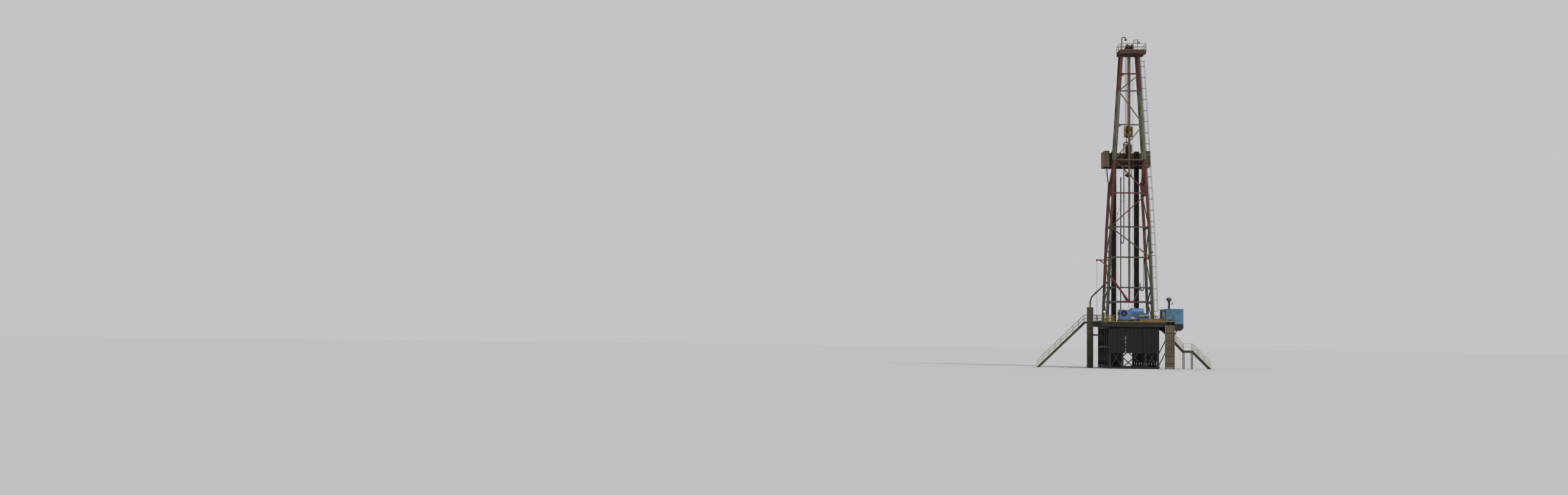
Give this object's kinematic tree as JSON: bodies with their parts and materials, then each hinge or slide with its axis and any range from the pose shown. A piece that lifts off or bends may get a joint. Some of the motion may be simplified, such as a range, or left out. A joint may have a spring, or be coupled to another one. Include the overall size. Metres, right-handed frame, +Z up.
{
  "type": "oil drilling rig",
  "caption": "Land drilling rig: lattice mast over a braced box substructure with drill floor, doghouse, drawworks, racking board and a travelling block with top drive that rides a rail.",
  "frame": {"origin": "on the ground under the middle of the rig's overall box", "axes": "+X to the doghouse side, +Y from the drawworks to the foot of the pipe ramp, +Z up the mast"},
  "size_m": [14.065, 9.776, 27.1],
  "materials": {
    "frame_black": "matte, worn",
    "deck_steel": "worn plate",
    "bare_steel": "dull",
    "rail_yellow": "weathered",
    "tread_steel": "grating",
    "stair_cream": "weathered",
    "doghouse_blue": "satin, chalky",
    "window_glass": "clear",
    "lamp_dark": "satin",
    "drawworks_dark": "oily",
    "drawworks_blue": "satin",
    "mast_green": "weathered",
    "mast_red": "weathered",
    "mast_pale": "weathered",
    "drill_pipe": "rusty",
    "rail_brown": "worn",
    "pipe_dark": "satin",
    "hose_rubber": "matte",
    "rope": "greased",
    "block_yellow": "satin"
  },
  "bodies": {
    "rig": {"left_outer_frame": "frame_black", "left_inner_frame": "frame_black", "right_inner_frame": "frame_black", "right_outer_frame": "frame_black", "box_ties": "frame_black", "cellar_spreaders": "frame_black", "weather_sheets": "frame_black", "floor_beams": "frame_black", "floor_deck": "deck_steel", "rotary_table": "bare_steel", "floor_rails": "rail_yellow", "pipe_ramp": "frame_black", "left_stair_frame": "frame_black", "right_stair_frame": "frame_black", "stair_treads": "tread_steel", "stair_rails": "stair_cream", "doghouse_base": "frame_black", "doghouse_floor": "deck_steel", "doghouse_front_wall": "doghouse_blue", "doghouse_rear_wall": "doghouse_blue", "doghouse_outer_wall": "doghouse_blue", "doghouse_inner_wall": "doghouse_blue", "doghouse_lintel": "doghouse_blue", "doghouse_roof": "doghouse_blue", "doghouse_window": "window_glass", "doghouse_lamp": "lamp_dark", "drawworks_skid": "drawworks_dark", "drawworks_housing": "drawworks_blue", "drawworks_drum": "bare_steel", "mast_feet": "bare_steel", "mast_base_sides": "mast_green", "mast_lower_sides": "mast_red", "mast_middle_sides": "mast_pale", "mast_top_sides": "mast_red", "rear_bracing_lower": "mast_green", "rear_bracing_upper": "mast_pale", "mast_ladder": "stair_cream", "crown_frame": "mast_red", "crown_sheaves": "mast_red", "crown_deck": "deck_steel", "crown_rails": "stair_cream", "gin_pole": "mast_red", "racking_board": "frame_black", "racking_fingers": "bare_steel", "racking_walls": "mast_pale", "racked_pipe": "drill_pipe", "torque_rail": "rail_brown", "standpipe": "pipe_dark", "rotary_hose": "hose_rubber", "drilling_lines": "rope", "fast_line": "rope", "service_column": "pipe_dark", "cable_riser": "stair_cream", "leg_davit": "mast_red"},
    "block": {"travelling_block": "block_yellow", "top_drive": "pipe_dark", "rail_carriage": "bare_steel", "elevator": "pipe_dark"},
    "door": {"doghouse_door": "doghouse_blue"}
  },
  "joints": [
    {"name": "block_travel", "type": "slide", "parent": "rig", "child": "block", "axis": [0, 0, 1], "range_m": [-11.2, 4.5], "deforming": ["drilling_lines", "rotary_hose"]},
    {"name": "doghouse_door_hinge", "type": "hinge", "parent": "rig", "child": "door", "pos_m": [3.3325, -4.372, 4.2], "axis": [0, 0, 1], "range_deg": [0, 95]}
  ]
}
